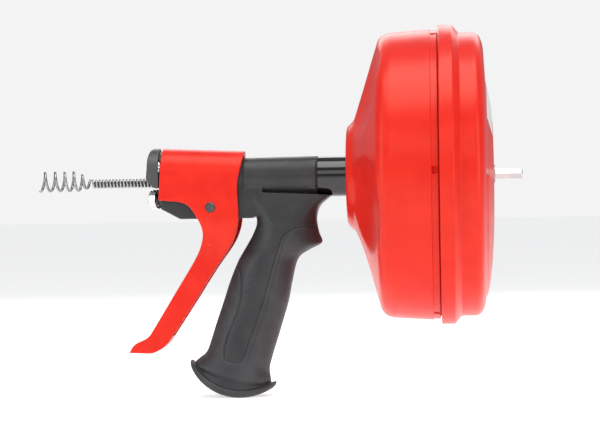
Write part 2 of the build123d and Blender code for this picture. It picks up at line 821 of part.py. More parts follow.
lever_back = Spline(
    (-163.4, 30), (-163.0, 14), (-166.6, -5), (-166.2, -27), (-170.0, -41), (-178.6, -54),
    (-195.7, -79.9), (-212.9, -105.9),
)
lever_heel = Spline(lever_back @ 1, (-218.2, -111), (-226.8, -114.2), tangents=[(-0.56, -0.83), (-1, -0.02)])
lever_tip = (-239.6, -113.7)
lever_sole = Line(lever_heel @ 1, lever_tip)
lever_toe = Spline(lever_tip, (-235.6, -107.9), (-230.4, -105.4), (-225.0, -100.9),
                   tangents=[(0.35, 0.94), (0.52, 0.86)])
lever_shin = Line(lever_toe @ 1, (-198.9, -58.8))
lever_throat = Spline(lever_shin @ 1, (-191.6, -44.6), (-190.0, -34.0), (-194.8, -23.2), (-205.7, -15.3),
                      tangents=[(0.52, 0.86), (-1, 0.15)])
lever_crown = Polyline(lever_throat @ 1, (-218.2, -14.1), (-215.6, 30), lever_back @ 0)
lever_side = side_region(lever_back, lever_heel, lever_sole, lever_toe, lever_shin, lever_throat, lever_crown)
arm_hollow = lever_side.moved(Location((2.5, 0, -1.5))) & block((-260, -far, -103), (-100, far, lever_web_z))
saddle_hollow = block((-260, -far, lever_web_z), (-100, far, far))

carrier_screw_tip_y = 9.5
carrier_screw_line = Plane(origin=(-211.5, carrier_screw_tip_y, 2.0), z_dir=(0, 1, 0))

with BuildPart() as feed_lever:
    add(lever_front_view(0))
    add(lever_side, mode=Mode.INTERSECT)
    add(lever_front_view(saddle_wall) & (arm_hollow + saddle_hollow), mode=Mode.SUBTRACT)
    for plane in upper_planes:
        add(rod(plane.offset(-roller_width / 2 - 0.4), roller_r + 0.5, roller_width + 0.8), mode=Mode.SUBTRACT)
    add(block((-183.4, -14, -38), (-180.6, 14, -33)) & lever_front_view(1.0))
    pin_line = Plane(origin=(pivot_x, -far, pivot_z), z_dir=(0, 1, 0))
    add(rod(pin_line, pin_r, 2 * far), mode=Mode.SUBTRACT)
    add(rod(carrier_screw_line, screw_r, far), mode=Mode.SUBTRACT)
keep(feed_lever, "feed_lever")

with BuildPart() as carrier_screw:
    add(rod(carrier_screw_line, screw_r, saddle_r - carrier_screw_tip_y + 0.05))
    add(rod(carrier_screw_line.offset(saddle_r - carrier_screw_tip_y + 0.05), 3.0, 1.8))
    add(rod(carrier_screw_line.offset(saddle_r - carrier_screw_tip_y + 1.0), 1.3, 2.0), mode=Mode.SUBTRACT)
keep(carrier_screw, "carrier_screw")

# ---------------------------------------------------------------- pivot pin, clip and return spring
pin_left_y = -16.6
pin_right_y = 18.4
clip_y = 16.4

with BuildPart() as pivot_pin:
    add(rod(Plane(origin=(pivot_x, pin_left_y, pivot_z), z_dir=(0, 1, 0)), pin_r, pin_right_y - pin_left_y))
    chamfer(pivot_pin.edges().filter_by(GeomType.CIRCLE), 0.5)
    with BuildSketch(Plane(origin=(pivot_x, clip_y, pivot_z), z_dir=(0, 1, 0))):
        Circle(pin_r + 1)
        Circle(2.5, mode=Mode.SUBTRACT)
    extrude(amount=0.9, mode=Mode.SUBTRACT)
keep(pivot_pin, "pivot_pin")

with BuildPart() as pin_clip:
    with BuildSketch(Plane(origin=(pivot_x, clip_y + 0.05, pivot_z), z_dir=(0, 1, 0))):
        Circle(5.2)
        Circle(2.5, mode=Mode.SUBTRACT)
        with Locations((0, -5)):
            Rectangle(3.6, 10, mode=Mode.SUBTRACT)
    extrude(amount=0.8)
keep(pin_clip, "pin_clip")

spring_r = 4.9
spring_wire_r = 0.6
spring_turns = 3.5
spring_pitch = 1.6
spring_frame = Plane(
    origin=(pivot_x, -spring_turns * spring_pitch / 2, pivot_z), x_dir=(-1, 0, 0), z_dir=(0, 1, 0),
)

with BuildPart() as spring_blank:
    with BuildLine() as spring_coil:
        Helix(spring_pitch, spring_pitch * spring_turns, spring_r)
    with BuildSketch(across(spring_coil.line @ 0, spring_coil.line % 0)):
        Circle(spring_wire_r)
    sweep(path=spring_coil.line, is_frenet=True)
    add(rod(across(spring_coil.line @ 0, -(spring_coil.line % 0)), spring_wire_r, 4.0))
    add(rod(across(spring_coil.line @ 1, spring_coil.line % 1), spring_wire_r, 18.0))

with BuildPart() as return_spring:
    add(spring_frame.location * spring_blank.part)
keep(return_spring, "return_spring")

# ---------------------------------------------------------------- roller carrier
carrier_nose = Spline((-222.0, 19.6), (-224.3, 17.4), (-225.6, 9.6), (-226.2, 0.5),
                      tangents=[(-1, -0.2), (-0.1, -1)])
carrier_side = side_region(
    carrier_nose,
    Polyline(carrier_nose @ 1, (-225.9, -1.8), (-220.6, -6.2), (-206.2, -6.2), (-206.2, 30), (-222, 30),
             carrier_nose @ 0),
)
carrier_joint_x = -218.25

with BuildPart() as roller_carrier:
    add(lever_front_view(0.1) & block((-240, -far, -far), (carrier_joint_x, far, far)))
    add(lever_front_view(saddle_wall + 0.05) & block((carrier_joint_x, -far, -far), (-200, far, far)))
    add(carrier_side, mode=Mode.INTERSECT)
    add(block((-240, -7.6, -20), (-200, 7.6, 0.6)), mode=Mode.SUBTRACT)
    add(rod(Plane(origin=(-240, 0, 0.2), z_dir=(1, 0, 0)), 4.4, 40), mode=Mode.SUBTRACT)
    for plane in upper_planes:
        add(rod(plane.offset(-roller_width / 2 - 0.4), roller_r + 0.5, roller_width + 0.8), mode=Mode.SUBTRACT)
        add(rod(plane.offset(-upper_axle_half), axle_r, 2 * upper_axle_half), mode=Mode.SUBTRACT)
    add(rod(carrier_screw_line, screw_r, 10), mode=Mode.SUBTRACT)
keep(roller_carrier, "roller_carrier")
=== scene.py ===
import math

import bmesh
import bpy
import numpy as np
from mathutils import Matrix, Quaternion, Vector


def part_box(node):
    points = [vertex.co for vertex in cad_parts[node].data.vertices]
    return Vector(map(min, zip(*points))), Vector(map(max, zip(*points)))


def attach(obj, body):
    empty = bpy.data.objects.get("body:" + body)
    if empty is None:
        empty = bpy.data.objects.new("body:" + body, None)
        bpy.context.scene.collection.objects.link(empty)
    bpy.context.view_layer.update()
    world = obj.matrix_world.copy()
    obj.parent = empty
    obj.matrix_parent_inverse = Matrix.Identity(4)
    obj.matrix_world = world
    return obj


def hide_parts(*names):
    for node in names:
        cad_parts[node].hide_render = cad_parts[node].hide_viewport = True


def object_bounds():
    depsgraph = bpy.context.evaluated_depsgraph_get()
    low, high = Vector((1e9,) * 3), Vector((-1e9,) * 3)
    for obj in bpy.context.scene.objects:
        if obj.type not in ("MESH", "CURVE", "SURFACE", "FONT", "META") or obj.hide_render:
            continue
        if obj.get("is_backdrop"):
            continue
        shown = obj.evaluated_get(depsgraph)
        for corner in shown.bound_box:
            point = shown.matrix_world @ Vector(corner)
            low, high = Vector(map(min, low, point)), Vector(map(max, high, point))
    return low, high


# Looks for a hand-held drain snake machine. Shapes are worked out in millimetres in the CAD
# frame (+X towards the drive shank, +Z up, left side at -Y) and turned to metres in new_mesh().

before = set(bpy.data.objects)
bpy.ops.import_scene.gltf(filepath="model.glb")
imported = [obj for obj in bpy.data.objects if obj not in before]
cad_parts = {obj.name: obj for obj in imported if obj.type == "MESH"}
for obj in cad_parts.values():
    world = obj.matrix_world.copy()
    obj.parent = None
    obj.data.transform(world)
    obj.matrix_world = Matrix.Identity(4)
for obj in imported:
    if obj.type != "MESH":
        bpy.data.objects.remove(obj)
start_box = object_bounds()

MM = 0.001
FINE = 1.0
scene = bpy.context.scene


# ---------------------------------------------------------------- materials
def shader(name):
    """A new material, its nodes and links, and its principled shader."""
    material = bpy.data.materials.new(name)
    material.use_nodes = True
    tree = material.node_tree
    return material, tree.nodes, tree.links, tree.nodes["Principled BSDF"]


def noise(nodes, links, scale, detail=3.0, stretch=(1, 1, 1)):
    """A noise texture in the object's own coordinates."""
    coordinates = nodes.new("ShaderNodeTexCoord")
    mapping = nodes.new("ShaderNodeMapping")
    mapping.inputs["Scale"].default_value = stretch
    texture = nodes.new("ShaderNodeTexNoise")
    texture.inputs["Scale"].default_value = scale
    texture.inputs["Detail"].default_value = detail
    links.new(coordinates.outputs["Object"], mapping.inputs["Vector"])
    links.new(mapping.outputs["Vector"], texture.inputs["Vector"])
    return texture.outputs["Fac"]


def ramp(nodes, links, factor, low, high, start=0.35, end=0.65):
    """A colour ramp between two colours over part of a factor's range."""
    node = nodes.new("ShaderNodeValToRGB")
    node.color_ramp.elements[0].position = start
    node.color_ramp.elements[0].color = (*low, 1)
    node.color_ramp.elements[1].position = end
    node.color_ramp.elements[1].color = (*high, 1)
    links.new(factor, node.inputs["Fac"])
    return node.outputs["Color"]


def spread(nodes, links, factor, low, high):
    """A factor's middle range mapped to two values."""
    node = nodes.new("ShaderNodeMapRange")
    node.inputs["From Min"].default_value = 0.3
    node.inputs["From Max"].default_value = 0.7
    node.inputs["To Min"].default_value = low
    node.inputs["To Max"].default_value = high
    links.new(factor, node.inputs["Value"])
    return node.outputs["Result"]


def surface(name, dark, light, rough, metallic=0.0, patch=70.0, grain=1800.0, depth=0.02, painted_edge_highlight=None,
            stretch=(1, 1, 1), specular=0.5, coat=0.0, coat_roughness=0.1, tint=(1, 1, 1)):
    """Moulded or machined finish: mottled colour, uneven gloss, fine grain and paler convex edges as a
    painted highlight.
    """
    material, nodes, links, principled = shader(name)
    colour = ramp(nodes, links, noise(nodes, links, patch), dark, light)
    # A paler colour mixed in on convex edges (Pointiness) is a painted edge highlight.
    if painted_edge_highlight:
        edges = nodes.new("ShaderNodeNewGeometry")
        edge_highlight_share = ramp(nodes, links, edges.outputs["Pointiness"], (0, 0, 0), (1, 1, 1), 0.53, 0.62)
        blend = nodes.new("ShaderNodeMix")
        blend.data_type = "RGBA"
        links.new(edge_highlight_share, blend.inputs["Factor"])
        links.new(colour, blend.inputs["A"])
        blend.inputs["B"].default_value = (*painted_edge_highlight, 1)
        colour = blend.outputs["Result"]
    links.new(colour, principled.inputs["Base Color"])
    gloss = noise(nodes, links, patch * 2.3, stretch=stretch)
    links.new(spread(nodes, links, gloss, rough[0], rough[1]), principled.inputs["Roughness"])
    bump = nodes.new("ShaderNodeBump")
    bump.inputs["Strength"].default_value = 0.35
    bump.inputs["Distance"].default_value = depth * MM
    links.new(noise(nodes, links, grain, 2.0, stretch), bump.inputs["Height"])
    links.new(bump.outputs["Normal"], principled.inputs["Normal"])
    principled.inputs["Metallic"].default_value = metallic
    principled.inputs["Specular IOR Level"].default_value = specular
    principled.inputs["Specular Tint"].default_value = (*tint, 1)
    principled.inputs["Coat Weight"].default_value = coat
    principled.inputs["Coat Roughness"].default_value = coat_roughness
    return material


# Each material's pale edge colour below is a painted highlight on convex edges.
along_x = (0.06, 1, 1)
warm = (1.0, 0.62, 0.45)
drum_red = surface(
    "drum_red", (0.63, 0.014, 0.009), (0.67, 0.018, 0.010), (0.28, 0.33),
    grain=1300, depth=0.006, specular=0.42, tint=warm,
)
lever_red = surface(
    "lever_red", (0.64, 0.013, 0.008), (0.71, 0.021, 0.012), (0.30, 0.38),
    grain=1500, depth=0.010, painted_edge_highlight=(0.80, 0.10, 0.05), specular=0.38, tint=warm,
)
grip_plastic = surface(
    "handle_black", (0.020, 0.021, 0.023), (0.030, 0.031, 0.033), (0.38, 0.48),
    grain=2600, depth=0.03, painted_edge_highlight=(0.06, 0.06, 0.062), specular=0.4,
)
grip_rubber = surface(
    "overmould_rubber", (0.028, 0.029, 0.032), (0.040, 0.042, 0.045), (0.44, 0.56),
    grain=3200, depth=0.035, painted_edge_highlight=(0.08, 0.078, 0.078), specular=0.4,
)
carrier_grey = surface(
    "carrier_grey", (0.045, 0.046, 0.050), (0.060, 0.062, 0.066), (0.38, 0.48),
    grain=2600, depth=0.025, painted_edge_highlight=(0.11, 0.11, 0.115),
)
tube_black = surface(
    "tube_black", (0.004, 0.004, 0.005), (0.008, 0.008, 0.009), (0.10, 0.18),
    grain=900, depth=0.006, stretch=along_x, specular=0.55, coat=0.3, coat_roughness=0.08,
)
cable_steel = surface(
    "cable_steel", (0.24, 0.24, 0.25), (0.38, 0.38, 0.39), (0.24, 0.36),
    metallic=1.0, patch=240, grain=2600, depth=0.012, painted_edge_highlight=(0.48, 0.48, 0.49),
)
# Near-black steel for the rod inside the open coil is the painted shade of the coil's hollow.
core_painted_shade = surface(
    "core_painted_shade", (0.05, 0.05, 0.052), (0.10, 0.10, 0.10), (0.45, 0.6),
    metallic=1.0, patch=300, grain=1500, depth=0.03,
)
shank_steel = surface(
    "shank_steel", (0.34, 0.33, 0.33), (0.44, 0.43, 0.43), (0.30, 0.42),
    metallic=1.0, patch=160, grain=2400, depth=0.02, painted_edge_highlight=(0.62, 0.61, 0.60), stretch=along_x,
)
bearing_steel = surface(
    "bearing_steel", (0.40, 0.39, 0.38), (0.50, 0.49, 0.48), (0.12, 0.22),
    metallic=1.0, patch=200, grain=2200, depth=0.006, painted_edge_highlight=(0.8, 0.8, 0.8),
)
zinc_steel = surface(
    "zinc_steel", (0.45, 0.46, 0.47), (0.60, 0.60, 0.60), (0.26, 0.40),
    metallic=1.0, patch=260, grain=2000, depth=0.015, painted_edge_highlight=(0.75, 0.75, 0.75),
)
pin_steel = surface(
    "pin_steel", (0.06, 0.06, 0.065), (0.10, 0.10, 0.105), (0.30, 0.42),
    metallic=0.9, patch=220, grain=2400, depth=0.012, painted_edge_highlight=(0.35, 0.35, 0.36),
)
spring_steel = surface(
    "spring_steel", (0.30, 0.30, 0.31), (0.42, 0.42, 0.43), (0.25, 0.35),
    metallic=1.0, patch=260, grain=2200, depth=0.01,
)
bronze = surface(
    "bronze", (0.38, 0.22, 0.09), (0.50, 0.31, 0.13), (0.32, 0.46),
    metallic=1.0, patch=180, grain=1600, depth=0.03,
)
nylon = surface(
    "nylon", (0.62, 0.60, 0.54), (0.74, 0.72, 0.66), (0.40, 0.5),
    patch=120, grain=1400, depth=0.02,
)
label_grey = surface(
    "label_grey", (0.60, 0.61, 0.62), (0.70, 0.70, 0.71), (0.34, 0.44),
    patch=90, grain=2800, depth=0.01,
)
floor_paper = surface(
    "floor_paper", (0.86, 0.86, 0.86), (0.88, 0.88, 0.88), (0.75, 0.85),
    patch=2, grain=60,
)


# ---------------------------------------------------------------- mesh helpers
def new_mesh(name, vertices, faces):
    """An object made from vertices in millimetres, with its faces turned outwards."""
    mesh = bpy.data.meshes.new(name)
    mesh.from_pydata((np.asarray(vertices, float) * MM).tolist(), [], faces)
    work = bmesh.new()
    work.from_mesh(mesh)
    bmesh.ops.remove_doubles(work, verts=work.verts, dist=0.001 * MM)
    bmesh.ops.recalc_face_normals(work, faces=work.faces)
    work.to_mesh(mesh)
    work.free()
    obj = bpy.data.objects.new(name, mesh)
    scene.collection.objects.link(obj)
    return obj


def finished(obj, material, body, slot, *nodes, sharp=35.0):
    """Shades a piece, gives it its material and body, and hides the CAD nodes it stands for."""
    obj.data.materials.clear()
    obj.data.materials.append(material)
    obj.data.shade_smooth()
    obj.data.set_sharp_from_angle(angle=math.radians(sharp))
    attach(obj, body)
    if nodes:
        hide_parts(*nodes)
    return obj


def baked(obj):
    """The object with its modifiers applied to its mesh."""
    mesh = bpy.data.meshes.new_from_object(obj.evaluated_get(bpy.context.evaluated_depsgraph_get()))
    obj.modifiers.clear()
    obj.data = mesh
    return obj


def melted(obj, voxel, passes):
    """Overlapping solids merged into one skin with softly rounded edges."""
    remesh = obj.modifiers.new("merge", "REMESH")
    remesh.mode = "VOXEL"
    remesh.voxel_size = voxel * FINE * MM
    remesh.adaptivity = 0.0
    soften = obj.modifiers.new("soften", "SMOOTH")
    soften.factor = 0.5
    soften.iterations = max(1, round(passes / FINE))
    return baked(obj)


def grid(rows, columns, wrap_rows=False):
    """Quads over a grid of points whose columns close on themselves."""
    last = rows if wrap_rows else rows - 1
    return [
        (a * columns + b, a * columns + (b + 1) % columns,
         (a + 1) % rows * columns + (b + 1) % columns, (a + 1) % rows * columns + b)
        for a in range(last) for b in range(columns)
    ]


def capped(rows, columns):
    """A closed tube of rings with a flat face at each end."""
    return grid(rows, columns) + [tuple(range(columns)), tuple(range((rows - 1) * columns, rows * columns))]


def eased(rows, steps):
    """A smooth Catmull-Rom run through rows of numbers."""
    rows = np.asarray(rows, float)
    padded = np.vstack([2 * rows[0] - rows[1], rows, 2 * rows[-1] - rows[-2]])
    share = np.linspace(0, 1, steps, endpoint=False)[:, None]
    spans = [
        0.5 * (2 * b + (c - a) * share + (2 * a - 5 * b + 4 * c - d) * share ** 2
               + (3 * b - a - 3 * c + d) * share ** 3)
        for a, b, c, d in zip(padded, padded[1:], padded[2:], padded[3:])
    ]
    return np.vstack(spans + [rows[-1:]])


def tube(path, radius, sides):
    """A round wire along a path, with flat ends."""
    path = np.asarray(path, float)
    along = np.gradient(path, axis=0)
    along /= np.linalg.norm(along, axis=1)[:, None]
    across = np.cross(along[0], (0.3, 0.5, 0.81))
    rings = []
    turn = np.linspace(0, 2 * np.pi, sides, endpoint=False)[:, None]
    for point, direction in zip(path, along):
        across = across - direction * (across @ direction)
        across /= np.linalg.norm(across)
        other = np.cross(direction, across)
        rings.append(point + radius * (np.cos(turn) * across + np.sin(turn) * other))
    return np.vstack(rings), capped(len(path), sides)


def rounded(corners, steps=6):
    """A closed path through (x, r, radius) corners, each turned with an arc."""
    path = []
    for before, corner, after in zip(corners[-1:] + corners[:-1], corners, corners[1:] + corners[:1]):
        place = np.array(corner[:2], float)
        arriving = np.array(before[:2]) - place
        leaving = np.array(after[:2]) - place
        arriving /= np.linalg.norm(arriving)
        leaving /= np.linalg.norm(leaving)
        half = math.acos(np.clip(arriving @ leaving, -1, 1)) / 2
        if corner[2] == 0 or half > 1.55:
            path.append(place)
            continue
        middle = arriving + leaving
        centre = place + middle / np.linalg.norm(middle) * corner[2] / math.sin(half)
        start = place + arriving * corner[2] / math.tan(half) - centre
        end = place + leaving * corner[2] / math.tan(half) - centre
        sweep = math.pi - 2 * half
        for share in np.linspace(0, 1, steps):
            path.append(centre + (math.sin((1 - share) * sweep) * start + math.sin(share * sweep) * end)
                        / math.sin(sweep))
    return np.array(path)


def split_long(path, longest):
    """A closed path with its long runs divided evenly."""
    points = []
    for here, there in zip(path, np.roll(path, -1, axis=0)):
        count = max(1, math.ceil(np.linalg.norm(there - here) / longest))
        points.extend(here + (there - here) * step / count for step in range(count))
    return np.array(points)


def lathe(name, profile, segments, relief=None):
    """A closed (x, r) profile turned about the tool's axis; relief moves the points in x and r."""
    turn = np.linspace(0, 2 * np.pi, segments, endpoint=False)[None, :]
    x = np.repeat(profile[:, :1], segments, axis=1)
    r = np.repeat(profile[:, 1:], segments, axis=1)
    if relief:
        x, r = relief(x, r, turn)
    turn = np.broadcast_to(turn, x.shape)
    vertices = np.stack([x, r * np.sin(turn), r * np.cos(turn)], axis=-1).reshape(-1, 3)
    return new_mesh(name, vertices, grid(len(profile), segments, wrap_rows=True))


def step(value, width):
    """A smooth step from 0 to 1 about zero."""
    share = np.clip(value / width + 0.5, 0, 1)
    return share * share * (3 - 2 * share)


# ---------------------------------------------------------------- drum front
drum_front_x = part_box("drum_front_shell")[0].x / MM
drum_wall = 2.5
cone_foot = np.array([-90.6, 36.4])
cone_top = np.array([-74.0, 88.6])
cone_way = (cone_top - cone_foot) / np.linalg.norm(cone_top - cone_foot)
scoop_count = 5
scoop_sphere_r = 76.0
scoop_depth = 6.0
scoop_mid_r = 63.0
scoop_edge = 0.35
scoop_front_x = drum_front_x + 3.6
scoop_back_x = -68.0
hub_sleeve_r = 18.5
hub_bore_r = 17.0
lip_x = -40.3
window_x = (-39.6, -36.9)
window_half = 1.9
window_turn = -math.radians(17)
window_depth = 1.9
window_least_r = 90.0


def drum_front_relief(x, r, turn):
    """Finger scoops in the coned face, and snap windows in the rear lip."""
    mid_x = cone_foot[0] + (scoop_mid_r - cone_foot[1]) / cone_way[1] * cone_way[0]
    y, z = r * np.sin(turn), r * np.cos(turn)
    depth = np.zeros_like(x)
    cut = np.zeros_like(x)
    for number in range(scoop_count):
        angle = np.pi + 2 * np.pi * number / scoop_count
        mid_y, mid_z = scoop_mid_r * np.sin(angle), scoop_mid_r * np.cos(angle)
        gap = (x - mid_x) ** 2 + (y - mid_y) ** 2 + (z - mid_z) ** 2
        depth += scoop_edge * np.logaddexp(0, (scoop_depth - gap / (2 * scoop_sphere_r)) / scoop_edge)
        away = (turn - angle - window_turn) % (2 * np.pi) - np.pi
        side = step(window_half - np.abs(away) * r, 0.4)
        cut += side * step(x - window_x[0], 0.3) * step(window_x[1] - x, 0.3) * (r > window_least_r)
    depth *= step(x - scoop_front_x, 3.0) * step(scoop_back_x - x, 6.0) * (r > hub_sleeve_r + 2)
    return x + depth * cone_way[1], r - depth * cone_way[0] - window_depth * cut


drum_front_profile = [
    (drum_front_x, hub_bore_r, 0.6), (drum_front_x, 31.5, 4.5), (cone_foot[0], cone_foot[1], 7.0),
    (cone_top[0] + 0.7, cone_top[1] + 2.2, 7.5), (-66.0, 92.75, 4.0), (lip_x, 94.4, 0.4), (lip_x, 93.7, 0.2),
    (-36.0, 93.9, 0.3), (-36.0, 92.0, 0.2), (-66.0, 90.3, 4.0), (cone_top[0] + 3.4, cone_top[1] - 0.6, 6.0),
    (cone_foot[0] + 2.6, cone_foot[1] - 0.6, 6.0), (drum_front_x + drum_wall, 29.0, 3.0),
    (drum_front_x + drum_wall, hub_sleeve_r, 1.0), (-68.4, hub_sleeve_r, 0.5), (-68.4, 15.1, 0.3),
    (drum_front_x + 1.6, 15.1, 0), (drum_front_x + 1.6, hub_bore_r, 0),
]
drum_front = lathe("drum_front", split_long(rounded(drum_front_profile), 1.6 * FINE), int(560 / FINE),
                   drum_front_relief)
finished(drum_front, drum_red, "drum", "drum_red", "drum_front_shell")

# ---------------------------------------------------------------- drum back cover
band_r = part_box("drum_back_cover")[1].z / MM
band_front_x = -35.3
band_back_x = -27.1
cover_wall_r = 92.1
panel_radii = [40.0, 43.6, 56.6, 70.0, 79.0]
panel_face_x = [-0.9, -1.0, -1.9, -3.4, -5.2]
panel_top_z = -2.0
panel_edge = 1.4
panel_reach = 4.0
outer_face_x = -9.0
shank_hole_r = 6.05


def cover_relief(x, r, turn):
    """The blank raised panel on the lower half of the back."""
    lower = step(panel_top_z - r * np.cos(turn), 1.6)
    ring = step(r - panel_radii[0], panel_edge) * step(panel_radii[-1] - r, panel_edge)
    panel_x = np.interp(r, panel_radii, panel_face_x)
    outside = (panel_x - x < panel_reach) & (x > outer_face_x)
    return x + np.maximum(0, panel_x - x) * lower * ring * outside, r


cover_profile = [
    (-0.2, shank_hole_r, 0.3), (-0.5, 22.0, 20.0), (-0.9, 35.1, 12.0), (-5.2, 61.4, 30.0), (-6.6, 84.0, 14.0),
    (-9.4, 92.0, 6.0), (-22.2, cover_wall_r, 1.0), (band_back_x + 0.6, band_r, 2.0),
    (band_front_x, band_r, 0.7), (band_front_x, 92.0, 0.3), (-44.0, 90.6, 0.4), (-44.0, 89.4, 0.3),
    (-33.0, 89.6, 1.0), (-14.0, 89.4, 5.0), (-9.6, 82.0, 10.0), (-7.9, 61.4, 20.0), (-3.5, 34.0, 10.0),
    (-3.3, shank_hole_r, 0.2),
]
drum_back = lathe("drum_back", split_long(rounded(cover_profile), 1.8 * FINE), int(480 / FINE), cover_relief)
finished(drum_back, drum_red, "drum", "drum_red", "drum_back_cover")

# ---------------------------------------------------------------- handle
barrel_front_x, barrel_back_x = -204.0, -114.6
barrel_front_r, barrel_back_r = 12.4, 13.5
keel_half_width = 12.4
keel_bottom_z = -26.5
pivot_x, pivot_z = -184.4, -19.2
# Grip sections from the barrel down: front x and z, back x and z, half-width, squareness.
grip_rows = [
    (-161.5, -9.4, -105.0, -12.2, 13.0, 0.30), (-159.8, -14.5, -108.6, -14.4, 13.8, 0.34),
    (-156.6, -21.5, -113.9, -19.6, 15.0, 0.50), (-155.2, -29.6, -115.9, -27.5, 16.1, 0.74),
    (-158.0, -37.2, -114.5, -36.4, 16.9, 0.94), (-161.7, -43.8, -112.7, -43.0, 17.4, 0.96),
    (-165.2, -49.6, -120.9, -47.6, 17.6, 0.96), (-168.2, -55.0, -128.5, -53.4, 17.7, 0.96),
    (-173.3, -67.2, -132.5, -67.8, 17.9, 0.96), (-177.7, -80.2, -135.1, -80.8, 18.0, 0.96),
    (-182.3, -93.2, -139.0, -93.9, 18.0, 0.96), (-186.6, -106.3, -143.1, -106.9, 18.3, 0.96),
    (-189.6, -113.6, -145.9, -115.6, 18.9, 0.96), (-194.0, -117.3, -148.3, -124.8, 19.6, 0.96),
    (-197.4, -121.0, -147.8, -133.6, 20.2, 0.96), (-194.0, -127.0, -152.0, -138.4, 17.5, 0.96),
]
foot_toe = np.array([-200.8, -121.6])
foot_heel = np.array([-144.6, -136.8])
foot_sag = 12.6
foot_half_width = 21.0
rim_height = 4.4
ring_points = 96


def grip_solid():
    """The pistol grip as smooth elliptical sections."""
    rows = eased(grip_rows, 6)
    turn = np.linspace(0, 2 * np.pi, ring_points, endpoint=False)[:, None]
    rings = []
    for front_x, front_z, back_x, back_z, half_width, square in rows:
        middle = np.array([(front_x + back_x) / 2, 0, (front_z + back_z) / 2])
        long_way = np.array([(back_x - front_x) / 2, 0, (back_z - front_z) / 2])
        lengthways = np.sign(np.cos(turn)) * np.abs(np.cos(turn)) ** square
        sideways = np.sign(np.sin(turn)) * np.abs(np.sin(turn)) ** square
        rings.append(middle + lengthways * long_way + sideways * np.array([0, half_width, 0]))
    return np.vstack(rings), capped(len(rings), len(turn))


def sole(share, rise):
    """A point on the curved sole, from toe at -1 to heel at 1, raised square to the chord."""
    chord = foot_heel - foot_toe
    half = np.linalg.norm(chord) / 2
    along = chord / (2 * half)
    up = np.array([-along[1], along[0]])
    radius = (half ** 2 + foot_sag ** 2) / (2 * foot_sag)
    drop = math.sqrt(radius ** 2 - (share * half) ** 2) - (radius - foot_sag)
    return (foot_toe + foot_heel) / 2 + along * half * share + up * (rise - drop)


def foot_rim():
    """The flared rim that follows the sole, with a mound inside the grip above it."""
    rings = []
    for rise, scale in ((14.0, 0.3), (13.0, 0.78), (rim_height + 1.5, 0.86), (rim_height, 0.955),
                        (rim_height * 0.72, 1.0), (rim_height * 0.2, 0.995), (0.0, 0.95), (0.0, 0.02)):
        for angle in np.linspace(0, 2 * np.pi, ring_points, endpoint=False):
            x, z = sole(math.cos(angle) * scale, rise)
            rings.append((x, foot_half_width * scale * math.sin(angle), z))
    return np.array(rings), capped(len(rings) // ring_points, ring_points)


def turned_solid(profile, columns=ring_points):
    """A solid of revolution about the tool's axis, closed at both ends."""
    turn = np.linspace(0, 2 * np.pi, columns, endpoint=False)
    rings = [(x, r * math.cos(a), r * math.sin(a)) for x, r in profile for a in turn]
    return np.array(rings), capped(len(profile), columns)


def slab(outline, half_width):
    """A side-view outline given a width."""
    count = len(outline)
    points = [(x, side * half_width, z) for side in (-1, 1) for x, z in outline]
    return np.array(points), capped(2, count)


def rod(start, end, radius, sides=48):
    """A plain bar between two points, used as a cutter or a boss."""
    return tube(np.linspace(start, end, 3), radius, sides)


screw_recess_r = 3.3
screw_recess_y = 7.0
tube_way_r = 10.2
pivot_hole_r = 3.35
spring_pocket_r = 7.0
pocket_half_width = 4.4
pocket_back = (2.0, 9.0)
pocket_foot_z = -32.0
roller_boss_r = 4.1
roller_boss_shift = (2.9, -0.9)
roller_boss_back_x, roller_boss_back_y = -209.0, -4.0
beyond_side = 30.0

keel_outline = [(-217.0, -8.0), (-217.0, -19.8), (-204.5, keel_bottom_z), (-158.0, keel_bottom_z),
                (-152.0, -24.0), (-150.0, -4.0), (-204.0, -4.0)]
roller_low, roller_high = (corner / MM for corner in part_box("lower_roller"))
roller_middle = (roller_low + roller_high) / 2
screw_places = [(-200.0, -19.5), (-165.5, -19.0), (-141.0, -27.0), (-157.0, -72.0), (-170.0, -106.0)]

handle_solids = [
    grip_solid(), foot_rim(),
    turned_solid([(barrel_front_x, barrel_front_r), (barrel_back_x, barrel_back_r)]),
    slab(keel_outline, keel_half_width),
    rod((roller_middle.x + roller_boss_shift[0], roller_middle.y + roller_boss_shift[1], roller_middle.z),
        (roller_boss_back_x, roller_boss_back_y, roller_middle.z), roller_boss_r),
]
handle_cutters = [rod((x, screw_recess_y, z), (x, beyond_side, z), screw_recess_r) for x, z in screw_places]
handle_cutters += [
    rod((-220.0, 0, 0), (-110.0, 0, 0), tube_way_r, ring_points),
    rod((pivot_x, -beyond_side, pivot_z), (pivot_x, beyond_side, pivot_z), pivot_hole_r),
    rod((pivot_x, -pocket_half_width, pivot_z), (pivot_x, pocket_half_width, pivot_z), spring_pocket_r),
    slab([(pivot_x + pocket_back[0], pivot_z), (pivot_x + pocket_back[1], pivot_z),
          (pivot_x + pocket_back[1], pocket_foot_z), (pivot_x + pocket_back[0], pocket_foot_z)],
         pocket_half_width),
]


def carved(solid, cutters):
    """One closed solid with each cutter taken out of it."""
    obj = new_mesh("stock", *solid)
    tools = []
    for shape in cutters:
        tool = new_mesh("cutter", *shape)
        cut = obj.modifiers.new("cut", "BOOLEAN")
        cut.operation = "DIFFERENCE"
        cut.solver = "EXACT"
        cut.object = tool
        tools.append(tool)
    baked(obj)
    for tool in tools:
        bpy.data.objects.remove(tool)
    return obj


def joined(name, objects):
    """Several meshes as one object."""
    vertices, faces, start = [], [], 0
    for obj in objects:
        vertices += [tuple(vertex.co / MM) for vertex in obj.data.vertices]
        faces += [tuple(start + index for index in face.vertices) for face in obj.data.polygons]
        start = len(vertices)
        bpy.data.objects.remove(obj)
    return new_mesh(name, vertices, faces)


